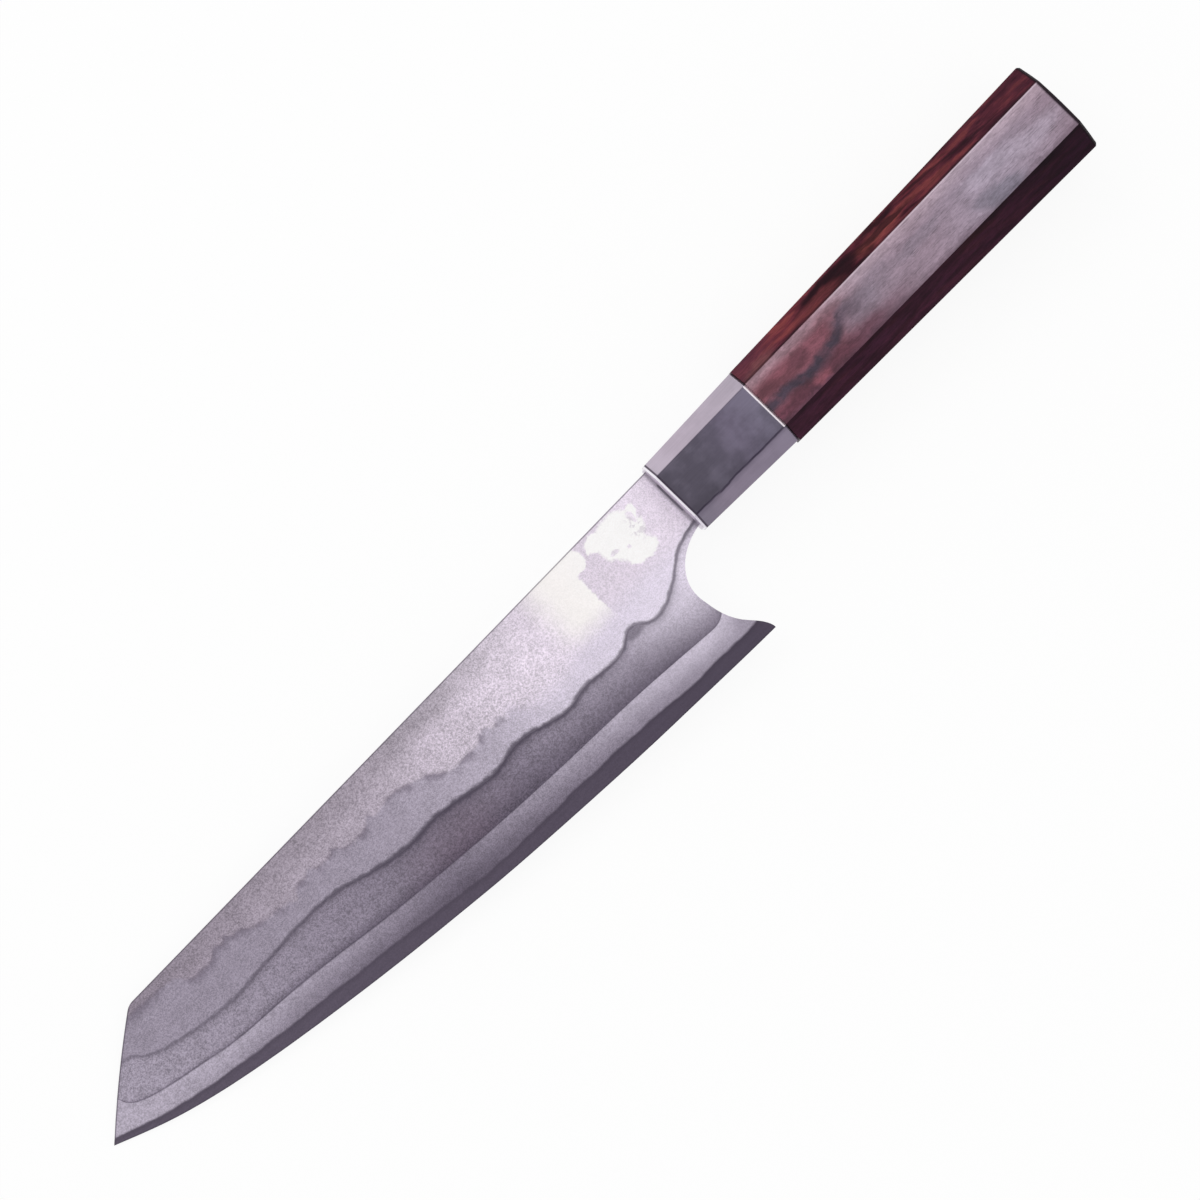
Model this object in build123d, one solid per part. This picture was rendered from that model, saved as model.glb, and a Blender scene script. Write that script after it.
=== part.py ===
from build123d import *
import math
import os

os.makedirs("parts", exist_ok=True)

# A kiritsuke: a five-layer blade with a slanted tip, in an eight-sided wooden handle with a metal ferrule.
# Sizes are in mm. The knife is drawn with the ferrule's front face at X = 0, the tip towards -X, the butt
# towards +X, the spine towards +Y and the left face towards +Z. The last step lays it on its right side.

# Blade outline
blade_length = 202.0
heel_height = 47.95
spine_rise = 9.3
tip_drop = 20.7
tip_cut_run = 26.1
tip_cut_bulge = 0.5
tip_corner_radius = 4.5
heel_setback = 4.7
heel_lip = 0.6
neck_drop = 8.65
choil_depth = 12.4

# Blade section
spine_thickness = 2.2
tip_thickness = 1.6
thickness_above_bevel = 0.8
bevel_height = 4.1
bevel_foot_thickness = 0.2
final_edge_height = 0.4
edge_land = 0.04
eased_edge = 0.25

# Layers: the hard core lies between two thin layers, and these between two outer ones
core_thickness = 0.6
inner_layer = 0.15

# Tang
tang_length = 75.0
tang_thickness = 1.6
tang_height = 8.6
tang_end_height = 5.0
tang_rise = 0.8
shoulder_groove = 0.45
tang_side_gap = 0.5
tang_edge_gap = 0.4
bond_recess = 0.3

# Handle, an octagon whose height runs from edge to spine and whose width runs from face to face.
# The wood starts a step proud of the ferrule, and its corners are cut deeper on the edge side.
handle_length = 132.0
ferrule_length = 31.0
front_height = 20.9
front_width = 18.4
front_corner = 3.9
joint_height = 22.7
joint_width = 19.6
joint_corner = 4.55
joint_drop = 0.2
grip_spine_step = 0.1
grip_edge_step = 0.4
grip_edge_corner = 5.1
butt_height = 26.8
butt_width = 22.0
butt_corner = 5.9
butt_edge_corner = 6.7
butt_drop = 0.5
butt_dome_radius = 170.0
butt_chamfer = 0.6
grip_edge_radius = 0.4
ferrule_chamfer = 0.6
ferrule_edge_radius = 0.2
ferrule_wall = 5.0

# Dowel
dowel_diameter = 13.0
dowel_grip_depth = 55.0
dowel_fit = 0.05
dowel_end_gap = 1.0
dowel_chamfer = 0.8

# Overrun of every cut past the surface it leaves
overrun = 3.0

# Edge line from heel to tip: share of the run, share of the rise, and the bevel's height there as a share.
# The first and last rows lie past the ends, for the bevel's cut alone.
edge_shares = (
    (-0.03, -0.004, 1.05),
    (0.0, 0.0, 1.05),
    (0.073, 0.018, 0.95),
    (0.124, 0.034, 0.96),
    (0.174, 0.049, 1.10),
    (0.225, 0.068, 1.16),
    (0.301, 0.104, 1.10),
    (0.377, 0.145, 0.94),
    (0.453, 0.194, 0.79),
    (0.504, 0.236, 0.87),
    (0.580, 0.302, 1.02),
    (0.656, 0.379, 1.02),
    (0.732, 0.467, 0.95),
    (0.808, 0.568, 0.82),
    (0.884, 0.696, 0.62),
    (0.934, 0.808, 0.53),
    (0.972, 0.915, 0.47),
    (1.0, 1.0, 0.43),
    (1.03, 1.094, 0.39),
)

# Back of the blade from the heel's lip round the choil to the neck: shares of the choil's depth and height
choil_shares = (
    (0.49, 0.886),
    (0.72, 0.771),
    (0.91, 0.613),
    (0.98, 0.47),
    (1.0, 0.38),
    (0.96, 0.28),
    (0.72, 0.133),
    (0.33, 0.035),
)

# Layer lines from the ferrule to the tip: share of the blade's length, share of its height below the spine.
# The line between the outer and the middle layer is a wave left by the hammer, so each face has its own.
outer_line_left_shares = (
    (0.0, 0.344),
    (0.033, 0.375),
    (0.055, 0.432),
    (0.080, 0.500),
    (0.113, 0.541),
    (0.130, 0.512),
    (0.144, 0.483),
    (0.158, 0.508),
    (0.172, 0.539),
    (0.190, 0.543),
    (0.235, 0.528),
    (0.260, 0.547),
    (0.290, 0.524),
    (0.335, 0.481),
    (0.377, 0.505),
    (0.416, 0.479),
    (0.471, 0.443),
    (0.503, 0.449),
    (0.550, 0.416),
    (0.585, 0.373),
    (0.604, 0.348),
    (0.659, 0.331),
    (0.738, 0.344),
    (0.778, 0.352),
    (0.827, 0.329),
    (0.862, 0.296),
    (0.887, 0.264),
    (0.903, 0.225),
    (0.911, 0.190),
    (0.927, 0.168),
    (0.950, 0.160),
)
outer_line_right_shares = (
    (0.0, 0.350),
    (0.034, 0.380),
    (0.062, 0.470),
    (0.095, 0.535),
    (0.135, 0.548),
    (0.175, 0.515),
    (0.205, 0.522),
    (0.250, 0.552),
    (0.300, 0.530),
    (0.345, 0.494),
    (0.400, 0.482),
    (0.445, 0.498),
    (0.490, 0.466),
    (0.540, 0.402),
    (0.590, 0.384),
    (0.650, 0.372),
    (0.705, 0.338),
    (0.760, 0.330),
    (0.815, 0.336),
    (0.870, 0.290),
    (0.905, 0.222),
    (0.928, 0.172),
    (0.950, 0.160),
)
core_line_shares = (
    (0.046, 0.705),
    (0.058, 0.765),
    (0.066, 0.781),
    (0.085, 0.783),
    (0.144, 0.760),
    (0.204, 0.741),
    (0.268, 0.729),
    (0.367, 0.707),
    (0.441, 0.683),
    (0.515, 0.652),
    (0.590, 0.614),
    (0.664, 0.567),
    (0.738, 0.530),
    (0.812, 0.503),
    (0.862, 0.461),
    (0.921, 0.403),
    (0.941, 0.371),
    (0.953, 0.333),
    (0.958, 0.287),
    (0.960, 0.237),
)

# Places that follow from the sizes above
heel_level = spine_rise - heel_height
tip_point = (-blade_length, spine_rise - tip_drop)
tip_corner = (tip_cut_run - blade_length, spine_rise)
slot_height = tang_height + 2 * tang_edge_gap
slot_width = tang_thickness + 2 * tang_side_gap
bore_radius = dowel_diameter / 2 + dowel_fit
joint_end = ferrule_length + ferrule_chamfer
dowel_end = ferrule_length + dowel_grip_depth
kerf_end = tang_length + tang_edge_gap


def edge_point(share_row):
    """A point of the edge line, from its shares of the run and the rise."""
    run = blade_length - heel_setback
    rise = heel_height - tip_drop
    return (-heel_setback - share_row[0] * run, heel_level + share_row[1] * rise)


def blade_point(share_row):
    """A point on the blade, from its share of the length and of the height below the spine."""
    return (-share_row[0] * blade_length, spine_rise - share_row[1] * heel_height)


def blade_outline():
    """The side view of the blade, closed at the ferrule's face."""
    edge_points = [edge_point(row) for row in edge_shares[1:-1]]
    edge_points[-1] = tip_point
    edge_line = Spline(*edge_points)
    lip_point = (-heel_setback, heel_level + heel_lip)
    neck_point = (0, -neck_drop)
    back_height = -neck_drop - heel_level
    back_points = [(-row[0] * choil_depth, -neck_drop - row[1] * back_height) for row in choil_shares]
    back_line = Spline(lip_point, *back_points, neck_point)
    cut_length = math.dist(tip_point, tip_corner)
    bulge_share = tip_cut_bulge / cut_length
    middle = [(low + high) / 2 for low, high in zip(tip_point, tip_corner)]
    outward = (-(tip_corner[1] - tip_point[1]) * bulge_share, tip_cut_run * bulge_share)
    crest = (middle[0] + outward[0], middle[1] + outward[1])
    tip_cut = ThreePointArc(tip_point, crest, tip_corner)
    top = Line(tip_corner, (0, spine_rise))
    neck_end = Line((0, spine_rise), neck_point)
    lip = Line((-heel_setback, heel_level), lip_point)
    face = make_face([edge_line, tip_cut, top, neck_end, back_line, lip])
    corner = face.vertices().sort_by_distance((*tip_corner, 0))[0]
    return fillet(corner, tip_corner_radius)


def left_face_plane():
    """The flat ground left face: it thins from the spine to the edge bevel and from the heel to the tip."""
    spine_at_heel = Vector(0, spine_rise, spine_thickness / 2)
    spine_at_tip = Vector(*tip_corner, tip_thickness / 2)
    bevel_top = Vector(0, heel_level + bevel_height, thickness_above_bevel / 2)
    normal = (spine_at_tip - spine_at_heel).cross(bevel_top - spine_at_heel)
    return Plane(origin=spine_at_heel, z_dir=normal)


def face_level(x, y):
    """Half the blade's thickness between its flat faces at a place on the side view."""
    plane = left_face_plane()
    away = plane.z_dir
    start = plane.origin
    return start.Z - (away.X * (x - start.X) + away.Y * (y - start.Y)) / away.Z


def ground_section(x, y, height):
    """The section of what grinding takes off the left side: the narrow final edge, then the bevel."""
    land_level = edge_land / 2
    foot_level = bevel_foot_thickness / 2
    final_slope = (foot_level - land_level) / final_edge_height
    bevel_run = height - final_edge_height
    bevel_slope = (face_level(x, y + height) - foot_level) / bevel_run
    corners = [
        (x, y - overrun, land_level - final_slope * overrun),
        (x, y + final_edge_height, foot_level),
        (x, y + height + overrun, foot_level + bevel_slope * (bevel_run + overrun)),
        (x, y + height + overrun, spine_thickness),
        (x, y - overrun, spine_thickness),
    ]
    return Wire.make_polygon(corners, close=True)


def grinding_cutter():
    """What grinding takes off the left side along the edge, in one smooth pass from heel to tip."""
    sections = []
    for row in edge_shares:
        x, y = edge_point(row)
        sections.append(ground_section(x, y, row[2] * bevel_height))
    return Solid.make_loft(sections)


def whole_blade():
    """The ground blade before it is parted into its layers."""
    blank = extrude(blade_outline(), amount=spine_thickness, both=True)
    left = left_face_plane()
    blade = split(blank, bisect_by=left, keep=Keep.BOTTOM)
    blade = split(blade, bisect_by=mirror_plane(left), keep=Keep.BOTTOM)
    blade = fillet(blade.edges().filter_by(is_spine_edge), eased_edge)
    cutter = grinding_cutter()
    return blade - cutter - cutter.mirror(Plane.XY)


def mirror_plane(plane):
    """The plane's mirror image in the blade's middle plane, with its normal still outwards."""
    normal = plane.z_dir
    start = plane.origin
    return Plane(origin=(start.X, start.Y, -start.Z), z_dir=(normal.X, normal.Y, -normal.Z))


def is_spine_edge(edge):
    """True for the edges of both faces along the spine, round the tip's corner and down the slanted cut."""
    stays_on_face = (edge @ 0).Z * (edge @ 1).Z > 0
    middle = edge @ 0.5
    return stays_on_face and middle.Y > -neck_drop and middle.X < -heel_setback


def layer_zone(line_shares, start_level):
    """The part of one side of the blade above a layer line, from a level outwards."""
    line_points = [blade_point(row) for row in line_shares]
    line = Spline(*line_points)
    top = spine_rise + overrun
    first = line_points[0]
    last = line_points[-1]
    rim = Polyline(last, (last[0], top), (overrun, top), (overrun, first[1]), first)
    return extrude(Plane.XY.offset(start_level) * make_face([line, rim]), amount=spine_thickness)


def tang():
    """The flat tapered tongue that runs from the neck into the handle."""
    half_root = tang_height / 2
    half_end = tang_end_height / 2
    outline = make_face(
        Polyline(
            (-shoulder_groove, tang_rise + half_root),
            (-shoulder_groove, tang_rise - half_root),
            (tang_length, tang_rise - half_end),
            (tang_length, tang_rise + half_end),
            close=True,
        )
    )
    blank = extrude(outline, amount=tang_thickness / 2, both=True)
    end_edges = blank.edges().filter_by(Axis.Z).group_by(Axis.X)[-1]
    return fillet(end_edges, half_end - tang_edge_gap)


def shoulder_cut():
    """The shallow groove across the neck where the layers stop short of the ferrule."""
    groove = Box(shoulder_groove, tang_height, spine_thickness + overrun)
    return Pos(-shoulder_groove / 2, tang_rise, 0) * groove


def blade_layers():
    """The core with its tang and the two thin layers on each side of it."""
    blade = whole_blade()
    core_level = core_thickness / 2
    outer_level = core_level + inner_layer
    left_inner_zone = layer_zone(core_line_shares, core_level)
    left_outer_zone = layer_zone(outer_line_left_shares, outer_level)
    right_inner_zone = left_inner_zone.mirror(Plane.XY)
    right_outer_zone = layer_zone(outer_line_right_shares, outer_level).mirror(Plane.XY)
    groove = shoulder_cut()
    core = blade - left_inner_zone - right_inner_zone - groove + tang()
    return {
        "core_steel": core,
        "inner_cladding_left": (blade & left_inner_zone) - left_outer_zone - groove,
        "outer_cladding_left": (blade & left_outer_zone) - groove,
        "inner_cladding_right": (blade & right_inner_zone) - right_outer_zone - groove,
        "outer_cladding_right": (blade & right_outer_zone) - groove,
    }


def octagon(x, height, width, corner, edge_corner, drop):
    """The handle's section at one place along its axis."""
    half_y = height / 2
    half_z = width / 2
    spine_y = half_y - corner
    spine_z = half_z - corner
    edge_y = half_y - edge_corner
    edge_z = half_z - edge_corner
    corners = [
        (half_y, spine_z),
        (spine_y, half_z),
        (-edge_y, half_z),
        (-half_y, edge_z),
        (-half_y, -edge_z),
        (-edge_y, -half_z),
        (spine_y, -half_z),
        (half_y, -spine_z),
    ]
    return [(x, y - drop, z) for y, z in corners]


def facet_bar(start, end):
    """A bar with eight flat facets between two octagons whose sides run alike."""
    nexts = start[1:] + start[:1]
    end_nexts = end[1:] + end[:1]
    rims = [start, end, *zip(start, nexts, end_nexts, end)]
    return Solid(Shell([Face(Wire.make_polygon(rim, close=True)) for rim in rims]))


def long_edges_of(solid):
    """The edges that run along the handle between its facets."""
    return solid.edges().filter_by(lambda e: abs((e @ 1).X - (e @ 0).X) > ferrule_wall)


def slot_solid(start, end):
    """The flat slot for the tang, between two places along the handle."""
    return Pos((start + end) / 2, tang_rise, 0) * Box(end - start, slot_height, slot_width)


def axis_cylinder(start, end, radius):
    """A round bar on the handle's axis between two places."""
    bar = Cylinder(radius, end - start)
    return Pos((start + end) / 2, 0, 0) * Rot(0, 90, 0) * bar


def ferrule():
    """The metal collar: a slotted front wall and a bore for the dowel, with its end edges broken."""
    front = octagon(0, front_height, front_width, front_corner, front_corner, 0)
    joint = octagon(ferrule_length, joint_height, joint_width, joint_corner, joint_corner, joint_drop)
    body = facet_bar(front, joint)
    body = chamfer(body.faces().filter_by(Axis.X).edges(), ferrule_chamfer)
    body = fillet(long_edges_of(body), ferrule_edge_radius)
    body = body - axis_cylinder(ferrule_wall, ferrule_length + overrun, bore_radius)
    return body - slot_solid(-overrun, ferrule_wall + overrun)


def handle_wood():
    """The wooden grip: eight flat facets that widen to a gently domed butt, bored for the dowel."""
    start_height = joint_height + grip_spine_step + grip_edge_step
    start_drop = joint_drop + (grip_edge_step - grip_spine_step) / 2
    start = octagon(ferrule_length, start_height, joint_width, joint_corner, grip_edge_corner, start_drop)
    butt_end = handle_length + overrun
    butt = octagon(butt_end, butt_height, butt_width, butt_corner, butt_edge_corner, butt_drop)
    body = facet_bar(start, butt)
    body = body & Pos(handle_length - butt_dome_radius, -butt_drop, 0) * Sphere(butt_dome_radius)
    body = chamfer(body.faces().sort_by(Axis.X)[-1].edges(), butt_chamfer)
    body = fillet(body.edges().filter_by(lambda e: (e @ 0.5).X > joint_end), grip_edge_radius)
    return body - axis_cylinder(ferrule_length - overrun, dowel_end + dowel_end_gap, bore_radius)


def dowel():
    """The hardwood core of the handle, sawn with a slot for the tang."""
    bar = axis_cylinder(ferrule_wall, dowel_end, dowel_diameter / 2)
    bar = chamfer(bar.edges().filter_by(GeomType.CIRCLE).sort_by(Axis.X)[-1], dowel_chamfer)
    return bar - slot_solid(0, kerf_end)


def tang_bond():
    """The resin round the tang, set a little back from the ferrule's face."""
    return slot_solid(bond_recess, kerf_end) - tang()


def resting_place(solids):
    """The turn and shift that lay the knife on its right side, on the ferrule's front corner and the tip."""
    lean = math.degrees(math.atan2(front_width / 2, blade_length + ferrule_chamfer))
    turned = Rot(0, -lean, 0)
    box = Compound([turned * solid for solid in solids]).bounding_box()
    middle = box.center()
    return Pos(-middle.X, -middle.Y, -box.min.Z) * turned


nodes = blade_layers()
nodes["ferrule"] = ferrule()
nodes["handle_wood"] = handle_wood()
nodes["dowel"] = dowel()
nodes["tang_bond"] = tang_bond()
place = resting_place([solid for node in nodes.values() for solid in node.solids()])
for name, node in nodes.items():
    export_step(place * node, f"parts/{name}.step")
    print(name, len(node.solids()), round(node.volume, 2))
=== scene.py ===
# %% [markdown]
# A kiritsuke is a long kitchen knife with a slanted tip. Its nine solid pieces arrive finished in shape from
# the engineering model, so this lesson is about looks: a camera, a studio, and one painted material for each
# piece. The model is loaded first and its outer box is kept, because dressing a knife must never change its
# size.

# %% Load the knife
import math

import bpy
from mathutils import Matrix, Vector


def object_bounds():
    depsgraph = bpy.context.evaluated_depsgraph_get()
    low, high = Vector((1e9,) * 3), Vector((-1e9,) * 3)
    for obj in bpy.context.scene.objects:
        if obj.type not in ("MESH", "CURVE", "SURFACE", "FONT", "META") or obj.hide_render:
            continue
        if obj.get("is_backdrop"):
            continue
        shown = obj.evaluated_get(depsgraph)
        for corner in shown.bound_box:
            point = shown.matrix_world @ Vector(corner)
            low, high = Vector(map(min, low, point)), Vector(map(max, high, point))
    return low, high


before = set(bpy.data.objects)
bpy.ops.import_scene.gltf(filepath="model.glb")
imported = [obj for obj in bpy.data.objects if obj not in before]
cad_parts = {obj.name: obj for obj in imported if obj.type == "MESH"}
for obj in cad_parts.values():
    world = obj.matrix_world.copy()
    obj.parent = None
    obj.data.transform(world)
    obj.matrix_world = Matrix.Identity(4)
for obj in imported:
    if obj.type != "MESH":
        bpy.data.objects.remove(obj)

cad_low, cad_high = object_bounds()
print("pieces:", ", ".join(sorted(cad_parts)))
print("box in mm:", [round(1000 * size, 1) for size in cad_high - cad_low])

# %% [markdown]
# The knife lies on its right side, on the tip and the ferrule's lower front corner, so its axis climbs from
# the tip to the butt by a small angle. Everything below is easier to say in the knife's own frame:
# millimetres from the middle of the ferrule's front face, x to the butt, y to the spine, z out of the left
# face of the blade.

# %% The knife's own frame
millimetre = 0.001
ferrule_length = 31.0
handle_length = 132.0
rest_lean = math.atan2(9.2, 202.6)
knife_turn = Matrix.Rotation(-rest_lean, 3, "Y")
knife_origin = Vector((0.0348769, 0.012909, 0.00956177))


def at_knife(x, y, z):
    """A place in the knife's own millimetres, as a point of the scene."""
    return knife_origin + knife_turn @ (Vector((x, y, z)) * millimetre)


print("axis climbs", round(math.degrees(rest_lean), 2), "degrees")
print("middle of the butt", at_knife(handle_length, 0, 0))

# %% [markdown]
# The photograph looks almost straight down on the left face, from a little towards the tip, which is why a
# thin band of the ferrule's front face shows. A long lens far away keeps the knife's lines parallel as they
# are in the picture. The camera is turned until the knife runs from the lower left to the upper right.

# %% Camera
camera_distance = 1.6
image_side = 1200
focal_pixels = 6730.0
tilt_to_tip = math.radians(3.129)
tilt_to_edge = math.radians(0.142)
camera_roll = math.radians(-45.923)

back = Vector((-math.sin(tilt_to_tip), -math.sin(tilt_to_edge), 0))
back.z = math.sqrt(1 - back.x**2 - back.y**2)
level_right = Vector((0, 1, 0)).cross(back).normalized()
level_up = back.cross(level_right)
right = level_right * math.cos(camera_roll) + level_up * math.sin(camera_roll)
up = level_up * math.cos(camera_roll) - level_right * math.sin(camera_roll)
back, right, up = (knife_turn @ direction for direction in (back, right, up))
shift_right, shift_up = 0.000636, 0.000448
aim = at_knife(-30, -4, 0) + right * shift_right + up * shift_up

camera_data = bpy.data.cameras.new("photograph_camera")
camera_data.sensor_width = 36
camera_data.lens = focal_pixels / image_side * camera_data.sensor_width
camera = bpy.data.objects.new("photograph_camera", camera_data)
bpy.context.scene.collection.objects.link(camera)
camera.matrix_world = Matrix((right, up, back)).transposed().to_4x4()
camera.location = aim + back * camera_distance
bpy.context.scene.camera = camera
print("lens", round(camera_data.lens, 1), "mm, camera at", camera.location)

# %% [markdown]
# The background is a white sheet with no edge in sight. It could be a curved backdrop, but seen from above a
# wide flat floor does the same. The floor is matt white paper that catches the knife's soft shadow. For the
# camera and for mirror-like metal, part of its brightness is added as even light, so that the paper reads as
# clean white.

# %% Floor
bpy.ops.object.select_all(action="DESELECT")
floor_side = 12
bpy.ops.mesh.primitive_plane_add(size=floor_side)
floor = bpy.context.object
floor.name = "paper_floor"
floor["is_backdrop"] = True
paper = bpy.data.materials.new("white_paper")
paper.use_nodes = True
paper.node_tree.nodes.clear()
print("floor", floor.dimensions.x, "m wide")

# %% [markdown]
# Every material here is a small network of nodes, so a few helpers keep the cells short. Each helper adds one
# node and gives back its output, and a value that is itself an output is connected instead of being typed in.

# %% Helpers for node networks
def add(tree, kind, **settings):
    """Adds a node and sets its plain settings."""
    made = tree.nodes.new(kind)
    for name, value in settings.items():
        setattr(made, name, value)
    return made


def put(tree, socket, value):
    """Feeds a socket from another node's output, or sets it to a number or colour."""
    if isinstance(value, bpy.types.NodeSocket):
        tree.links.new(value, socket)
    else:
        socket.default_value = value


def maths(tree, operation, *values, clamp=False):
    """One step of arithmetic."""
    step = add(tree, "ShaderNodeMath", operation=operation, use_clamp=clamp)
    for socket, value in zip(step.inputs, values):
        put(tree, socket, value)
    return step.outputs[0]


def fade(tree, value, low, high, start=0.0, end=1.0):
    """A smooth change from start to end while a value goes from low to high."""
    step = add(tree, "ShaderNodeMapRange", interpolation_type="SMOOTHSTEP")
    settings = {"Value": value, "From Min": low, "From Max": high, "To Min": start, "To Max": end}
    for name, setting in settings.items():
        put(tree, step.inputs[name], setting)
    return step.outputs["Result"]


def blend(tree, share, first, second, how="MIX"):
    """Two colours mixed by a share."""
    mix = add(tree, "ShaderNodeMix", data_type="RGBA", blend_type=how, clamp_factor=True)
    put(tree, mix.inputs[0], share)
    put(tree, mix.inputs[6], first)
    put(tree, mix.inputs[7], second)
    return mix.outputs[2]


def tone(red, green, blue):
    """A colour as a paint chart gives it, from 0 to 255, turned into the light values that nodes want."""
    paint = (red, green, blue)
    light = [(part / 255 / 12.92) if part <= 10 else ((part / 255 + 0.055) / 1.055) ** 2.4 for part in paint]
    return (*light, 1.0)


def laid(tree, colour, mask, share, paint):
    """A colour with a paint laid over it through a mask, at a share of its full strength."""
    return blend(tree, maths(tree, "MULTIPLY", mask, share), colour, tone(*paint))


def blank_material(name):
    """A new material with an empty network of nodes."""
    made = bpy.data.materials.new(name)
    made.use_nodes = True
    made.node_tree.nodes.clear()
    return made


def close_material(tree, colour, roughness, height, strength, depth):
    """Ends a network with its shader and its relief. The depth is in metres."""
    shader = add(tree, "ShaderNodeBsdfPrincipled")
    put(tree, shader.inputs["Base Color"], colour)
    put(tree, shader.inputs["Roughness"], roughness)
    bump = add(tree, "ShaderNodeBump")
    bump.inputs["Strength"].default_value = strength
    bump.inputs["Distance"].default_value = depth
    put(tree, bump.inputs["Height"], height)
    put(tree, shader.inputs["Normal"], bump.outputs[0])
    put(tree, add(tree, "ShaderNodeOutputMaterial").inputs["Surface"], shader.outputs[0])
    return shader


print("helpers ready; middle grey is", round(tone(128, 128, 128)[0], 3))

# %% [markdown]
# The paper mixes two shaders: a matt one that shows shadow, and an even one that only the camera, mirror and
# glass rays see. Light Path tells which kind of ray asks.

# %% Paper finish
tree = paper.node_tree
rays = add(tree, "ShaderNodeLightPath")
seen = maths(tree, "MAXIMUM", rays.outputs["Is Camera Ray"], rays.outputs["Is Glossy Ray"])
seen = maths(tree, "MAXIMUM", seen, rays.outputs["Is Transmission Ray"])
matt = add(tree, "ShaderNodeBsdfDiffuse")
matt.inputs["Color"].default_value = tone(248, 248, 248)
even = add(tree, "ShaderNodeEmission")
even.inputs["Color"].default_value = (1, 1, 1, 1)
even_share = maths(tree, "MULTIPLY", seen, 0.90)
either = add(tree, "ShaderNodeMixShader")
put(tree, either.inputs[0], even_share)
put(tree, either.inputs[1], matt.outputs[0])
put(tree, either.inputs[2], even.outputs[0])
put(tree, add(tree, "ShaderNodeOutputMaterial").inputs["Surface"], either.outputs[0])
floor.data.materials.append(paper)
print("paper nodes:", len(tree.nodes))

# %% [markdown]
# The room gives most of the light. It is pale all round and a little darker overhead, as a studio with white
# walls is. In such even light a painted surface comes out almost as it was mixed, which makes colours easy to
# judge.

# %% Room
room = bpy.data.worlds.new("pale_studio")
bpy.context.scene.world = room
room.use_nodes = True
tree = room.node_tree
tree.nodes.clear()
direction = add(tree, "ShaderNodeTexCoord")
parts = add(tree, "ShaderNodeSeparateXYZ")
put(tree, parts.inputs[0], direction.outputs["Generated"])
ceiling = fade(tree, parts.outputs["Z"], 0.2, 0.8)
walls = add(tree, "ShaderNodeBackground")
put(tree, walls.inputs["Color"], blend(tree, ceiling, (0.92, 0.92, 0.92, 1), (0.70, 0.70, 0.70, 1)))
put(tree, add(tree, "ShaderNodeOutputWorld").inputs["Surface"], walls.outputs[0])
print("room nodes:", len(tree.nodes))

# %% [markdown]
# Two soft boxes do the rest. The window box stands at the spine side, models the facets and draws the soft
# shadow on the edge side. The broad box hangs over the butt and makes the blade brighter near the handle than
# at the tip.

# %% Soft boxes
def soft_box(name, where, look_at, width, height, brightness):
    """A rectangular lamp whose brightness is that of its face, where 1 is white paper."""
    lamp = bpy.data.lights.new(name, "AREA")
    lamp.shape = "RECTANGLE"
    lamp.size = width
    lamp.size_y = height
    lamp.energy = brightness * math.pi * width * height
    holder = bpy.data.objects.new(name, lamp)
    holder.location = where
    holder.rotation_euler = (where - look_at).to_track_quat("Z", "Y").to_euler()
    bpy.context.scene.collection.objects.link(holder)


soft_box("broad_box", Vector((0.95, 0.25, 1.9)), at_knife(-40, 0, 0), 0.9, 0.9, 1.9)
soft_box("window_box", Vector((-0.25, 1.15, 1.25)), at_knife(-30, 0, 0), 1.1, 0.7, 1.9)

# %% [markdown]
# Patterns must be fixed to the steel and the wood. Object coordinates do that, and a Mapping node set to
# Texture turns them into the knife's own frame, in millimetres, so every number below can be checked with a
# ruler.

# %% Knife coordinates for materials
def split_place(tree, place):
    """The three parts of a place."""
    parts = add(tree, "ShaderNodeSeparateXYZ")
    put(tree, parts.inputs[0], place)
    return parts.outputs[:]


def knife_place(tree):
    """The place on the knife in millimetres, as a vector and as its three parts."""
    place = add(tree, "ShaderNodeTexCoord")
    turn = add(tree, "ShaderNodeMapping", vector_type="TEXTURE")
    put(tree, turn.inputs["Vector"], place.outputs["Object"])
    turn.inputs["Location"].default_value = knife_origin
    turn.inputs["Rotation"].default_value = (0, -rest_lean, 0)
    turn.inputs["Scale"].default_value = (millimetre, millimetre, millimetre)
    return turn.outputs[0], *split_place(tree, turn.outputs[0])


def stretch(tree, place, along, across, depth):
    """The same place with each axis multiplied, which stretches or squeezes a pattern."""
    scaled = add(tree, "ShaderNodeVectorMath", operation="MULTIPLY")
    put(tree, scaled.inputs[0], place)
    scaled.inputs[1].default_value = (along, across, depth)
    return scaled.outputs[0]


def clouds(tree, place, scale, detail=2.0, roughness=0.5, distortion=0.0):
    """Soft random clouds from 0 to 1. The scale is in clouds for each millimetre."""
    noise = add(tree, "ShaderNodeTexNoise")
    put(tree, noise.inputs["Vector"], place)
    settings = {"Scale": scale, "Detail": detail, "Roughness": roughness, "Distortion": distortion}
    for name, value in settings.items():
        put(tree, noise.inputs[name], value)
    return noise.outputs["Fac"]


cloud_low, cloud_high = 0.36, 0.64


def swing(tree, noise, low=0.0, high=1.0):
    """Clouds stretched to a range. Their own values seldom leave the band from cloud_low to cloud_high."""
    return fade(tree, noise, cloud_low, cloud_high, low, high)


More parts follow.
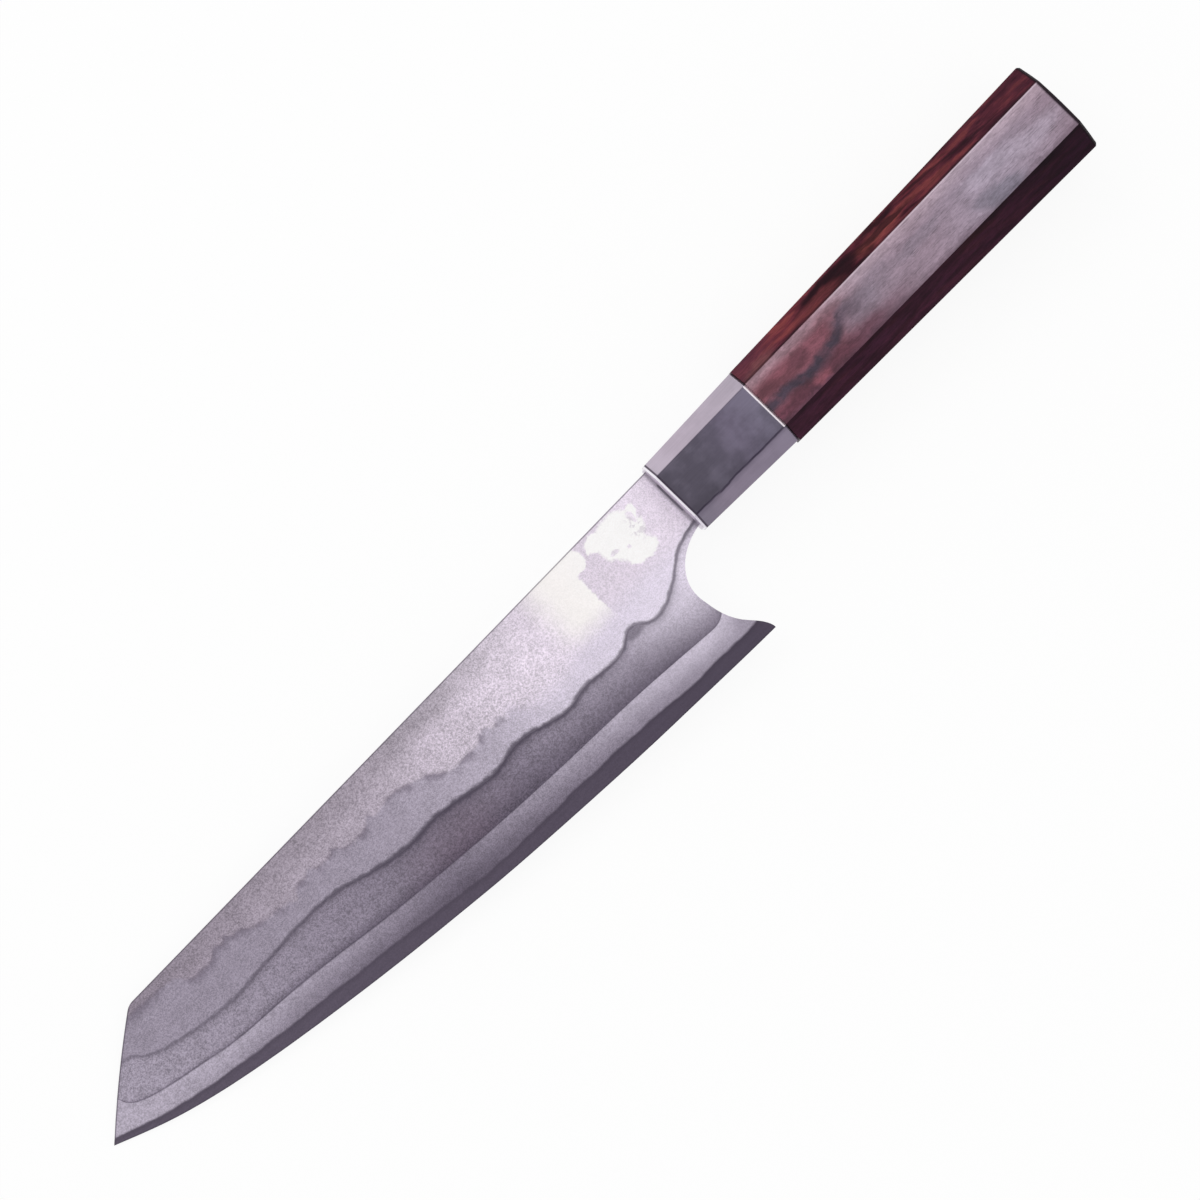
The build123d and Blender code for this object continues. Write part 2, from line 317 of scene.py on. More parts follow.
def warped(tree, place, scale, amount):
    """A place pushed about by clouds, in millimetres, so that straight borders turn ragged."""
    noise = add(tree, "ShaderNodeTexNoise")
    put(tree, noise.inputs["Vector"], place)
    noise.inputs["Scale"].default_value = scale
    noise.inputs["Detail"].default_value = 3.0
    centred = add(tree, "ShaderNodeVectorMath", operation="MULTIPLY_ADD")
    put(tree, centred.inputs[0], noise.outputs["Color"])
    centred.inputs[1].default_value = (amount, amount, amount)
    centred.inputs[2].default_value = (-amount / 2, -amount / 2, -amount / 2)
    moved = add(tree, "ShaderNodeVectorMath", operation="ADD")
    put(tree, moved.inputs[0], place)
    put(tree, moved.inputs[1], centred.outputs[0])
    return moved.outputs[0]


def oval_reach(tree, place, centre, radii, turn=0.0):
    """How far out a place lies in an oval: 0 at its middle and 1 on its outline."""
    local = add(tree, "ShaderNodeMapping", vector_type="TEXTURE")
    put(tree, local.inputs["Vector"], place)
    local.inputs["Location"].default_value = (*centre, 0)
    local.inputs["Rotation"].default_value = (0, 0, math.radians(turn))
    local.inputs["Scale"].default_value = (*radii, 1000)
    reach = add(tree, "ShaderNodeVectorMath", operation="LENGTH")
    put(tree, reach.inputs[0], local.outputs[0])
    return reach.outputs["Value"]


def patch(tree, place, centre, radii, soft, turn=0.0):
    """A patch with an oval outline: 1 inside, 0 outside, with a border of the given softness."""
    return fade(tree, oval_reach(tree, place, centre, radii, turn), 1 - soft, 1 + soft, 1.0, 0.0)


def ramp(tree, value, stops):
    """A colour that follows a value through a list of stops, each a position and a paint colour."""
    made = add(tree, "ShaderNodeValToRGB")
    put(tree, made.inputs[0], value)
    elements = made.color_ramp.elements
    elements[0].position, elements[0].color = stops[0][0], tone(*stops[0][1])
    elements[1].position, elements[1].color = stops[-1][0], tone(*stops[-1][1])
    for where, colour in stops[1:-1]:
        elements.new(where).color = tone(*colour)
    return made.outputs["Color"]


def curve(tree, value, rows):
    """A number that follows a value through a list of points, each within 0 and 1."""
    made = add(tree, "ShaderNodeFloatCurve")
    points = made.mapping.curves[0].points
    points[0].location = rows[0]
    points[1].location = rows[-1]
    for row in rows[1:-1]:
        points.new(*row)
    made.mapping.extend = "HORIZONTAL"
    made.mapping.update()
    put(tree, made.inputs["Value"], value)
    return made.outputs[0]


def shaded(tree, colour, factor):
    """A colour made lighter or darker by a factor."""
    grey = add(tree, "ShaderNodeCombineColor")
    for socket in grey.inputs[:3]:
        put(tree, socket, factor)
    return blend(tree, 1.0, colour, grey.outputs[0], "MULTIPLY")


print("knife coordinates ready")

# %% [markdown]
# The blade's layers meet in lines. The wavy one was left by the hammer, and the smooth one is where grinding
# opened the hard core. Each line is written as a curve: how far along the blade, and how deep below the
# spine, both as shares of the blade's size. A Float Curve node holds it, and the distance to it tells the
# colours where they are.

# %% Lines of the blade
blade_length = 202.0
spine_rise = 9.3
heel_height = 47.95

outer_line_left = (
    (0.0, 0.344), (0.033, 0.375), (0.055, 0.432), (0.080, 0.500), (0.113, 0.541), (0.130, 0.512),
    (0.144, 0.483), (0.158, 0.508), (0.172, 0.539), (0.190, 0.543), (0.235, 0.528), (0.260, 0.547),
    (0.290, 0.524), (0.335, 0.481), (0.377, 0.505), (0.416, 0.479), (0.471, 0.443), (0.503, 0.449),
    (0.550, 0.416), (0.585, 0.373), (0.604, 0.348), (0.659, 0.331), (0.738, 0.344), (0.778, 0.352),
    (0.827, 0.329), (0.862, 0.296), (0.887, 0.264), (0.903, 0.225), (0.911, 0.190), (0.927, 0.168),
    (0.950, 0.160),
)
outer_line_right = (
    (0.0, 0.350), (0.034, 0.380), (0.062, 0.470), (0.095, 0.535), (0.135, 0.548), (0.175, 0.515),
    (0.205, 0.522), (0.250, 0.552), (0.300, 0.530), (0.345, 0.494), (0.400, 0.482), (0.445, 0.498),
    (0.490, 0.466), (0.540, 0.402), (0.590, 0.384), (0.650, 0.372), (0.705, 0.338), (0.760, 0.330),
    (0.815, 0.336), (0.870, 0.290), (0.905, 0.222), (0.928, 0.172), (0.950, 0.160),
)
core_line = (
    (0.046, 0.705), (0.058, 0.765), (0.066, 0.781), (0.085, 0.783), (0.144, 0.760), (0.204, 0.741),
    (0.268, 0.729), (0.367, 0.707), (0.441, 0.683), (0.515, 0.652), (0.590, 0.614), (0.664, 0.567),
    (0.738, 0.530), (0.812, 0.503), (0.862, 0.461), (0.921, 0.403), (0.941, 0.371), (0.953, 0.333),
    (0.958, 0.287), (0.960, 0.237),
)
edge_rows = (
    (0.0, 0.0, 1.05), (0.073, 0.018, 0.95), (0.124, 0.034, 0.96), (0.174, 0.049, 1.10), (0.225, 0.068, 1.16),
    (0.301, 0.104, 1.10), (0.377, 0.145, 0.94), (0.453, 0.194, 0.79), (0.504, 0.236, 0.87),
    (0.580, 0.302, 1.02), (0.656, 0.379, 1.02), (0.732, 0.467, 0.95), (0.808, 0.568, 0.82),
    (0.884, 0.696, 0.62), (0.934, 0.808, 0.53), (0.972, 0.915, 0.47), (1.0, 1.0, 0.43),
)
heel_setback = 4.7
tip_drop = 20.7
bevel_height = 4.1
edge_run = 1 - heel_setback / blade_length
edge_rise = 1 - tip_drop / heel_height
edge_line = [(heel_setback / blade_length + run * edge_run, 1 - rise * edge_rise) for run, rise, _ in edge_rows]
bevel_line = [(x, y - row[2] * bevel_height / heel_height) for (x, y), row in zip(edge_line, edge_rows)]
print("edge line of", len(edge_line), "points, core line of", len(core_line))

# %% [markdown]
# All five layers are steel that was blasted to a fine matt grain and then etched, so they start from the same
# sheet: knife coordinates, shares along and below the spine, two sizes of grain and slow clouds. Blasted
# steel scatters light almost like paint, so the shader is only partly metallic. The steel is lilac-grey all
# over, so a layer's colour is written as a few levels of lightness along the blade.

# %% Blasted steel
grain_depth = 0.00004


def blade_shares(tree, x, y):
    """How far a place lies along the blade and below its spine, as shares of the blade's length and height."""
    along = maths(tree, "MULTIPLY", x, -1 / blade_length)
    return along, maths(tree, "MULTIPLY_ADD", y, -1 / heel_height, spine_rise / heel_height)


def steel_sheet(name):
    """The start of a steel material: its tree, places, shares and grain in one dictionary."""
    made = blank_material(name)
    tree = made.node_tree
    place, x, y, z = knife_place(tree)
    sheet = {"material": made, "tree": tree, "place": place, "x": x, "y": y, "z": z}
    sheet["along"], sheet["below"] = blade_shares(tree, x, y)
    sheet["fine"] = clouds(tree, place, 3.0, 2.0, 0.6)
    sheet["coarse"] = clouds(tree, place, 1.35, 2.0, 0.55, 0.4)
    sheet["mottle"] = clouds(tree, place, 0.22, 3.0, 0.55)
    return sheet


def under(sheet, rows):
    """How many millimetres a place lies below a line, towards the edge."""
    tree = sheet["tree"]
    apart = maths(tree, "SUBTRACT", sheet["below"], curve(tree, sheet["along"], rows))
    return maths(tree, "MULTIPLY", apart, heel_height)


def steel_ramp(sheet, levels, green=-9, blue=7):
    """Lilac-grey steel whose lightness follows stops along the blade. Green and blue are set beside red."""
    return ramp(sheet["tree"], sheet["along"], [(at, (red, red + green, red + blue)) for at, red in levels])


def grained(sheet, colour, strength):
    """A colour made lighter and darker by two grains and by broad clouds, calmer near the handle."""
    tree = sheet["tree"]
    strength = maths(tree, "MULTIPLY", fade(tree, sheet["along"], 0.10, 0.34, 0.5, 1.0), strength)
    fine = fade(tree, sheet["fine"], 0.37, 0.63, -1.15, 1.15)
    coarse = fade(tree, sheet["coarse"], 0.37, 0.63, -0.65, 0.65)
    broad = swing(tree, sheet["mottle"], -0.35, 0.35)
    both = maths(tree, "ADD", maths(tree, "ADD", fine, coarse), broad)
    return shaded(tree, colour, maths(tree, "MULTIPLY_ADD", both, strength, 1.0))


def finish_steel(sheet, colour, roughness, relief, metallic=0.35):
    """Closes a steel material with its shader, its gloss and its relief."""
    shader = close_material(sheet["tree"], colour, roughness, sheet["fine"], relief, grain_depth)
    shader.inputs["Metallic"].default_value = metallic
    shader.inputs["Specular IOR Level"].default_value = 0.2
    return sheet["material"]


def rim_painted_shade(sheet, colour):
    """Painted shade: the thin dark line where the face rounds over into the spine and the slanted cut, standing
    in for the dark that the rounded corner mirrors.
    """
    tree = sheet["tree"]
    along_spine = fade(tree, sheet["y"], spine_rise - 0.40, spine_rise - 0.2)
    offset = add(tree, "ShaderNodeVectorMath", operation="DISTANCE")
    put(tree, offset.inputs[0], stretch(tree, sheet["place"], 1.0, 1.0, 0.0))
    offset.inputs[1].default_value = cut_centre
    along_cut = fade(tree, offset.outputs["Value"], cut_radius - 0.45, cut_radius - 0.2)
    # Painted shade along the spine and along the slanted cut.
    rim_shade_mask = maths(tree, "MAXIMUM", along_spine, along_cut)
    return laid(tree, colour, rim_shade_mask, 0.72, (88, 80, 92))


def by_the_ferrule(sheet, colour):
    """The soft shadow on the blade's neck where it goes into the ferrule."""
    tree = sheet["tree"]
    shadow = fade(tree, sheet["x"], -1.5, -0.2)
    return laid(tree, colour, shadow, 0.62, (96, 88, 102))


def dress(node_name, material):
    """Gives a piece of the knife its material in every slot."""
    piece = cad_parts[node_name]
    piece.data.materials.clear()
    piece.data.materials.append(material)
    print(node_name, "wears", material.name, "with", len(material.node_tree.nodes), "nodes")


tip_cut_run = 26.1
tip_cut_bulge = 0.5
cut_length = math.hypot(tip_cut_run, tip_drop)
cut_radius = cut_length**2 / 8 / tip_cut_bulge + tip_cut_bulge / 2
cut_middle = Vector((tip_cut_run / 2 - blade_length, spine_rise - tip_drop / 2, 0))
cut_inward = Vector((tip_drop, -tip_cut_run, 0)) / cut_length
cut_centre = cut_middle + cut_inward * (cut_radius - tip_cut_bulge)
print("the slanted cut is part of a circle of radius", round(cut_radius, 1), "mm")

# %% [markdown]
# The outer layer is the big pale field of the blade. Its colour drifts from light lilac at the handle to grey
# at the tip, partly as the steel's own tone and partly as a painted reflection of the broad box over the butt.
# Above a ragged cloud line the steel is pinker and grainier, below it bluer and smoother, and where the two
# meet the etch left dark crests. Colours are laid one over another, each through its own mask.

# %% Outer layer: base colours
cloud_line = (
    (0.0, 0.35), (0.16, 0.345), (0.20, 0.36), (0.24, 0.40), (0.262, 0.402), (0.297, 0.375), (0.307, 0.335),
    (0.315, 0.325), (0.320, 0.345), (0.330, 0.322), (0.338, 0.345), (0.349, 0.311), (0.371, 0.342),
    (0.406, 0.338), (0.436, 0.268), (0.460, 0.233), (0.480, 0.208), (0.513, 0.222), (0.518, 0.190),
    (0.526, 0.227), (0.548, 0.240), (0.568, 0.221), (0.574, 0.182), (0.579, 0.203), (0.593, 0.202),
    (0.604, 0.196), (0.610, 0.163), (0.617, 0.188), (0.628, 0.190), (0.639, 0.202), (0.645, 0.244),
    (0.652, 0.218), (0.675, 0.202), (0.705, 0.175), (0.716, 0.140), (0.732, 0.127), (0.737, 0.097),
    (0.742, 0.130), (0.752, 0.107), (0.763, 0.140), (0.793, 0.140), (0.804, 0.102), (0.815, 0.065),
    (0.830, 0.060), (0.867, 0.045), (0.92, 0.01),
)
# Both rows fall from the handle to the tip: partly the steel's own tone, partly a painted reflection of the
# broad box over the butt.
high_levels = ((0.0, 245), (0.10, 225), (0.25, 230), (0.36, 210), (0.50, 180), (0.90, 150))
low_levels = ((0.10, 230), (0.25, 215), (0.35, 185), (0.50, 165), (0.70, 157))
spine_shade = (
    (0.0, 0.0), (0.16, 0.02), (0.25, 0.12), (0.33, 0.24), (0.40, 0.32), (0.45, 0.28), (0.50, 0.17),
    (0.60, 0.16), (0.75, 0.12), (0.90, 0.10),
)


def outer_base(sheet):
    """The two fields of the outer layer and the dark crests between them."""
    tree = sheet["tree"]
    high = steel_ramp(sheet, high_levels, -11, 3)
    toward_spine = fade(tree, sheet["y"], 1.5, 7.5)
    shade = maths(tree, "MULTIPLY", toward_spine, curve(tree, sheet["along"], spine_shade))
    high = shaded(tree, high, maths(tree, "SUBTRACT", 1.0, shade))
    high = grained(sheet, high, 0.17)
    low = grained(sheet, steel_ramp(sheet, low_levels), 0.14)

    rough_place = warped(tree, warped(tree, sheet["place"], 0.45, 1.1), 1.6, 0.7)
    along, below = blade_shares(tree, *split_place(tree, rough_place)[:2])
    gap = maths(tree, "MULTIPLY", maths(tree, "SUBTRACT", below, curve(tree, along, cloud_line)), heel_height)
    softness = fade(tree, sheet["along"], 0.27, 0.35, 4.5, 0.6)
    colour = blend(tree, fade(tree, maths(tree, "DIVIDE", gap, softness), -0.7, 1.0), high, low)
    seam = maths(tree, "MULTIPLY", fade(tree, gap, -0.9, 0.0), fade(tree, gap, 0.1, 2.8, 1.0, 0.0))
    blots = fade(tree, clouds(tree, sheet["place"], 0.24, 3.0), 0.40, 0.58)
    starts = fade(tree, sheet["along"], 0.28, 0.33)
    seam = maths(tree, "MULTIPLY", maths(tree, "MULTIPLY", seam, blots), starts)
    return laid(tree, colour, seam, 0.55, (104, 94, 110))


print("cloud line of", len(cloud_line), "points")

# %% [markdown]
# Near the handle the etch left two almost white patches with sharp ragged borders. One is cut off straight on
# its handle side and fades out towards the tip. They are ovals seen through a pushed-about place, so no
# border is smooth. The hidden face gets patches of its own.

# %% Outer layer: pale patches
def left_white(sheet):
    """The white patches of the left face, with the small marks in the second one."""
    tree = sheet["tree"]
    rough_place = warped(tree, warped(tree, sheet["place"], 0.35, 2.4), 1.3, 1.1)
    x, y = split_place(tree, rough_place)[:2]
    block = maths(tree, "MULTIPLY", fade(tree, x, -46.5, -35.5), fade(tree, x, -29.3, -28.8, 1.0, 0.0))
    block = maths(tree, "MULTIPLY", block, fade(tree, y, -11.0, -3.5))
    white = maths(tree, "MAXIMUM", block, patch(tree, rough_place, (-28.8, 6.6), (4.2, 3.1), 0.08))
    for centre, radii in (
        ((-15.0, 3.2), (6.4, 5.7)), ((-13.6, -2.6), (4.3, 3.0)), ((-20.4, 6.0), (3.0, 2.2)),
        ((-8.6, 5.6), (1.3, 1.6)),
    ):
        white = maths(tree, "MAXIMUM", white, patch(tree, rough_place, centre, radii, 0.11))
    for centre, radii in (
        ((-18.6, 1.2), (1.3, 0.8)), ((-15.5, -0.6), (0.6, 0.6)), ((-9.8, 4.4), (0.8, 1.5)),
        ((-9.4, -1.2), (1.0, 1.4)),
    ):
        hole = maths(tree, "MULTIPLY", patch(tree, rough_place, centre, radii, 0.3), 0.7)
        white = maths(tree, "MULTIPLY", white, maths(tree, "SUBTRACT", 1.0, hole))
    specks = fade(tree, clouds(tree, rough_place, 0.75, 2.0), 0.52, 0.6)
    return white, maths(tree, "MULTIPLY", specks, patch(tree, rough_place, (-10.0, 1.6), (2.8, 3.4), 0.3))


def right_white(sheet):
    """Pale patches of the hidden face, which has its own etching."""
    tree = sheet["tree"]
    rough_place = warped(tree, warped(tree, warped(tree, sheet["place"], 0.13, 9.0), 0.35, 4.0), 1.3, 1.4)
    white = patch(tree, rough_place, (-24.0, 3.5), (9.0, 5.0), 0.14, 12)
    white = maths(tree, "MAXIMUM", white, patch(tree, rough_place, (-50.0, 4.0), (13.0, 5.0), 0.5))
    white = maths(tree, "MAXIMUM", white, patch(tree, rough_place, (-11.0, -1.0), (3.2, 4.2), 0.14, 40))
    marks = patch(tree, rough_place, (-20.0, 2.0), (0.9, 0.7), 0.3)
    return white, marks


print("patches ready")

# %% [markdown]
# The weld line is the dark line where two steels meet. It is drawn on both of its sides by the same distance,
# so the two halves join into one line about a millimetre and a half wide. It pales towards the tip.

# %% Outer layer: weld line and finish
weld_dark = (78, 70, 85)
weld_strength = (
    (0.0, 0.80), (0.10, 0.70), (0.16, 0.72), (0.30, 0.86), (0.50, 0.88), (0.60, 0.74), (0.70, 0.64),
    (0.80, 0.54), (1.0, 0.44),
)
weld_width = (
    (0.0, 0.50), (0.05, 0.60), (0.10, 0.72), (0.20, 0.80), (0.32, 0.95), (0.50, 0.95), (0.60, 0.75),
    (0.75, 0.6), (1.0, 0.6),
)


def weld_gap(sheet, wavy_line):
    """The distance below the weld line in line widths, a little ragged, and how dark the line is there."""
    tree = sheet["tree"]
    jitter = fade(tree, clouds(tree, sheet["place"], 0.55, 3.0, 0.5), 0.3, 0.7, -0.22, 0.22)
    gap = maths(tree, "DIVIDE", under(sheet, wavy_line), curve(tree, sheet["along"], weld_width))
    return maths(tree, "ADD", gap, jitter), curve(tree, sheet["along"], weld_strength)


def outer_layer(name, wavy_line, white_patches):
    """The pale outer steel of one face."""
    sheet = steel_sheet(name)
    tree = sheet["tree"]
    colour = outer_base(sheet)
    white, marks = white_patches(sheet)
    bright = ramp(tree, sheet["along"], ((0.10, (255, 254, 253)), (0.17, (253, 249, 247))))
    bright = grained(sheet, bright, 0.03)
    colour = blend(tree, maths(tree, "MULTIPLY", white, 0.93), colour, bright)
    colour = laid(tree, colour, marks, 0.5, (206, 196, 208))
    gap, strength = weld_gap(sheet, wavy_line)
    weld = maths(tree, "MULTIPLY", fade(tree, gap, -1.35, -0.2), strength)
    colour = blend(tree, weld, colour, tone(*weld_dark))
    colour = by_the_ferrule(sheet, rim_painted_shade(sheet, colour))
    roughness = fade(tree, sheet["mottle"], 0.3, 0.7, 0.50, 0.62)
    return finish_steel(sheet, colour, roughness, 0.5)


dress("outer_cladding_left", outer_layer("outer_steel_left", outer_line_left, left_white))
dress("outer_cladding_right", outer_layer("outer_steel_right", outer_line_right, right_white))

# %% [markdown]
# The inner layer is a darker steel that shows as the band between the two lines. It deepens towards the core,
# as the grind runs through it at a shallow slope. Near the heel that takes nine millimetres, at the tip
# barely one. A curve holds numbers from 0 to 1, so these widths are written in centimetres.

# %% Inner layer
centimetre = 10.0
band_top = ((0.05, 225), (0.17, 170), (0.35, 130), (0.47, 125), (0.60, 140), (0.92, 165))
core_line_strength = ((0.0, 0.15), (0.25, 0.20), (0.45, 0.40), (0.60, 0.60), (0.85, 0.55), (1.0, 0.35))
band_foot = ((0.05, 135), (0.12, 105), (0.30, 100), (0.48, 85), (0.62, 105), (0.90, 135))
foot_width = (
    (0.0, 0.95), (0.10, 0.90), (0.25, 0.85), (0.40, 0.62), (0.55, 0.34), (0.70, 0.25), (0.85, 0.12),
    (1.0, 0.10),
)


def inner_layer(name, wavy_line):
    """The dark band between the wavy line and the core."""
    sheet = steel_sheet(name)
    tree = sheet["tree"]
    above_core = maths(tree, "MULTIPLY", under(sheet, core_line), -1.0)
    width = maths(tree, "MULTIPLY", curve(tree, sheet["along"], foot_width), centimetre)
    depth = maths(tree, "SUBTRACT", 1.0, maths(tree, "DIVIDE", above_core, width), clamp=True)
    colour = blend(tree, depth, steel_ramp(sheet, band_top), steel_ramp(sheet, band_foot))
    stain = patch(tree, warped(tree, sheet["place"], 0.12, 8.0), (-93.0, -18.0), (13.0, 5.5), 0.9)
    colour = laid(tree, colour, stain, 0.32, (108, 88, 104))
    colour = grained(sheet, colour, 0.18)
    line = fade(tree, above_core, 0.0, 0.5, 1.0, 0.0)
    line = maths(tree, "MULTIPLY", line, curve(tree, sheet["along"], core_line_strength))
    colour = blend(tree, line, colour, tone(88, 80, 95))
    gap, strength = weld_gap(sheet, wavy_line)
    crest = patch(tree, sheet["place"], (-28.8, -15.3), (3.4, 1.3), 0.5)
    weld = maths(tree, "MAXIMUM", fade(tree, gap, 0.15, 1.8, 1.0, 0.0), fade(tree, gap, 0.4, 3.4, 0.42, 0.0))
    weld = maths(tree, "MAXIMUM", weld, maths(tree, "MULTIPLY", crest, 0.8))
    weld = maths(tree, "MULTIPLY", weld, strength)
    colour = blend(tree, weld, colour, tone(*weld_dark))
    colour = by_the_ferrule(sheet, rim_painted_shade(sheet, colour))
    roughness = fade(tree, sheet["mottle"], 0.3, 0.7, 0.52, 0.64)
    return finish_steel(sheet, colour, roughness, 0.55)


dress("inner_cladding_left", inner_layer("inner_steel_left", outer_line_left))
dress("inner_cladding_right", inner_layer("inner_steel_right", outer_line_right))

# %% [markdown]
# The core is the hard steel that takes the edge. Its flat shows as a pale band, lightest under the line, and
# below the bevel's top line it is ground again and finished finer, so it is glossier and clean. Its dark tone
# there is a painted reflection of a dark part of the room. One material does both: the bevel line's curve
# switches colour and gloss, and the steel runs on as the tang inside the handle.

# %% Core
core_top = ((0.05, 200), (0.10, 205), (0.28, 170), (0.50, 130), (0.62, 155), (0.85, 180))
core_foot = ((0.05, 165), (0.20, 145), (0.35, 120), (0.50, 100), (0.62, 120), (0.80, 150), (1.0, 190))
bevel_reflection_levels = ((0.05, 80), (0.50, 90), (1.0, 98))


def core():
    """The pale core band and the dark ground bevel."""
    sheet = steel_sheet("hard_core_steel")
    tree = sheet["tree"]
    below_line = under(sheet, core_line)
    depth = fade(tree, below_line, 0.0, 6.5)
    flat = blend(tree, depth, steel_ramp(sheet, core_top), steel_ramp(sheet, core_foot))
    flat = grained(sheet, flat, 0.14)
    line = fade(tree, below_line, 0.0, 0.3, 1.0, 0.0)
    line = maths(tree, "MULTIPLY", line, curve(tree, sheet["along"], core_line_strength))
    flat = blend(tree, line, flat, tone(92, 84, 99))

    worn = fade(tree, clouds(tree, sheet["place"], 0.16, 2.0), 0.3, 0.7, -0.2, 0.2)
    into_bevel = maths(tree, "ADD", under(sheet, bevel_line), worn)
    bevel = fade(tree, into_bevel, -0.4, 0.35)
    # Painted reflection: the bevel's dark tone stands in for the dark part of the room that its finer finish
    # mirrors.
    ground = steel_ramp(sheet, bevel_reflection_levels)
    top_shade = fade(tree, into_bevel, 0.2, 1.6, 0.86, 1.0)
    lines = clouds(tree, stretch(tree, sheet["place"], 0.05, 3.5, 1.0), 1.0, 3.0, 0.6)
    top_shade = maths(tree, "MULTIPLY", top_shade, swing(tree, lines, 0.975, 1.025))
    ground = shaded(tree, ground, top_shade)
    ground = grained(sheet, ground, 0.05)
    above_edge = maths(tree, "MULTIPLY", under(sheet, edge_line), -1.0)
    ground = blend(tree, fade(tree, above_edge, 0.05, 0.45, 0.5, 0.0), ground, tone(60, 53, 68))
    colour = rim_painted_shade(sheet, blend(tree, bevel, flat, ground))
    colour = by_the_ferrule(sheet, colour)
    roughness = maths(tree, "SUBTRACT", 0.54, maths(tree, "MULTIPLY", bevel, 0.16))
    return finish_steel(sheet, colour, roughness, 0.3)


dress("core_steel", core())

# %% [markdown]
# The ferrule is a collar of satin metal. In the photograph each facet mirrors another part of a dark and pale
# studio: the flat facet is dark grey, the slanted one on the spine side pale lilac, the one on the edge side
# between the two, and the front chamfer nearly white. An even room can't give that, so the facets are told
# apart by their place and each gets its own tone as a painted reflection, with fine belt lines and clouds over
# them. Thin lines of painted shade run along the facet borders and into the groove at the rear end, and both
# chamfers carry painted highlights.

# %% Ferrule
outer_facets_from = 7.0


def facet_marks(tree, x, y, start, end):
    """Where a place lies across the handle: its distance from the flat facets' middle line, and their half
    width. Start and end are rows of x, upper border and lower border."""
    run = end[0] - start[0]
    middle_start, middle_end = ((row[1] + row[2]) / 2 for row in (start, end))
    half_start, half_end = ((row[1] - row[2]) / 2 for row in (start, end))
    slope = (middle_end - middle_start) / run
    middle = maths(tree, "MULTIPLY_ADD", x, slope, middle_start - slope * start[0])
    slope = (half_end - half_start) / run
    half = maths(tree, "MULTIPLY_ADD", x, slope, half_start - slope * start[0])
    return maths(tree, "SUBTRACT", y, middle), half


